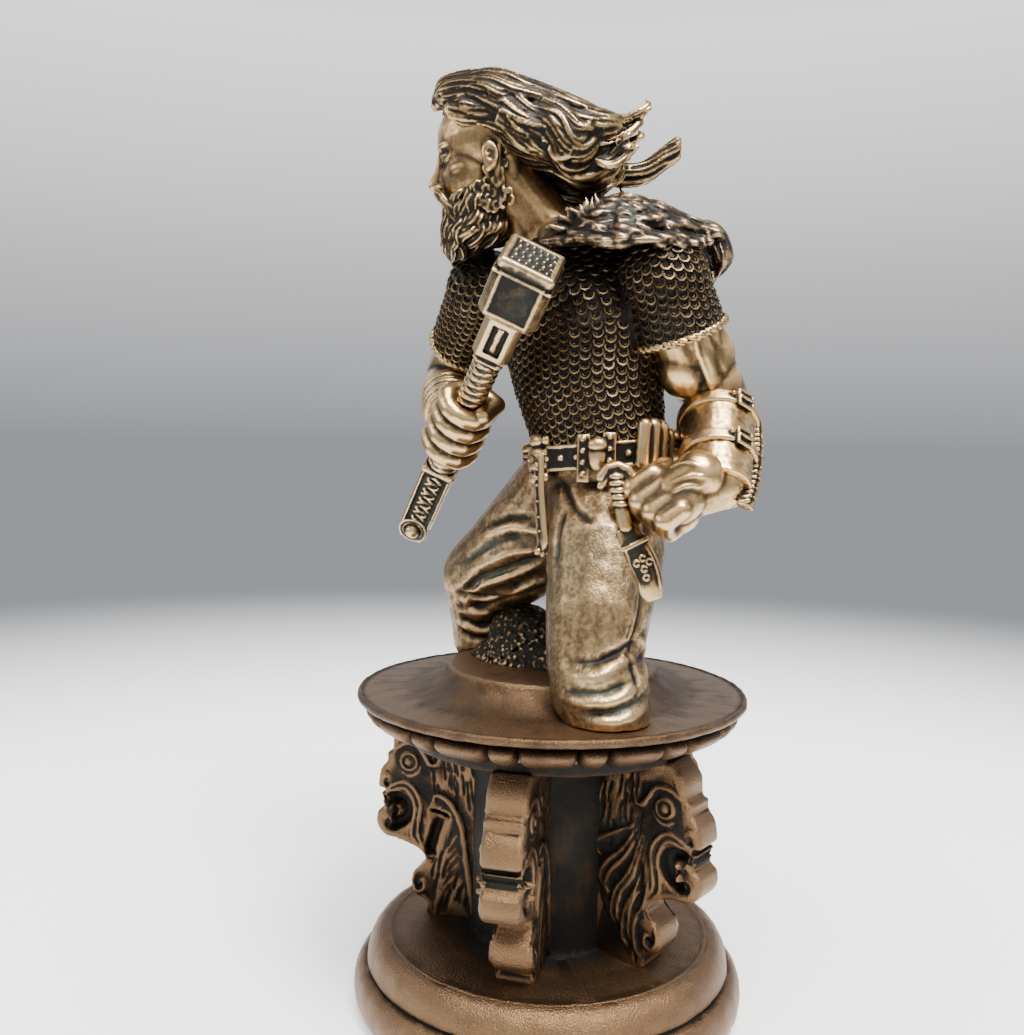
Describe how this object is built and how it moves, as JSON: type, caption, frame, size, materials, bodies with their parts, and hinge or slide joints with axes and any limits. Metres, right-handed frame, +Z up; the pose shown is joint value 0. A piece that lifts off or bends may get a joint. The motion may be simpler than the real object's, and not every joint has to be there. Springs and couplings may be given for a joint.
{
  "type": "warrior statuette on a pedestal",
  "caption": "Cold-cast bronze statuette of a bearded, long-haired warrior in mail and fur holding a war hammer, rising from a round pedestal on carved dragon brackets.",
  "frame": {"origin": "centre of the pedestal's flat underside", "axes": "+Z up along the pedestal's axis; -Y is the front, midway between the two front brackets; the picture looks from 52 degrees round towards +X"},
  "size_m": [0.1421, 0.132, 0.3125],
  "materials": {
    "pedestal_bronze": "antiqued reddish-brown cold-cast bronze, satin",
    "figure_bronze": "antiqued cold-cast bronze with dark recesses and rubbed edges",
    "hammer_bronze": "antiqued cold-cast bronze, rubbed bright on its faces"
  },
  "bodies": {
    "root": {"pedestal": "pedestal_bronze", "figure": "figure_bronze", "hammer": "hammer_bronze"}
  },
  "joints": []
}
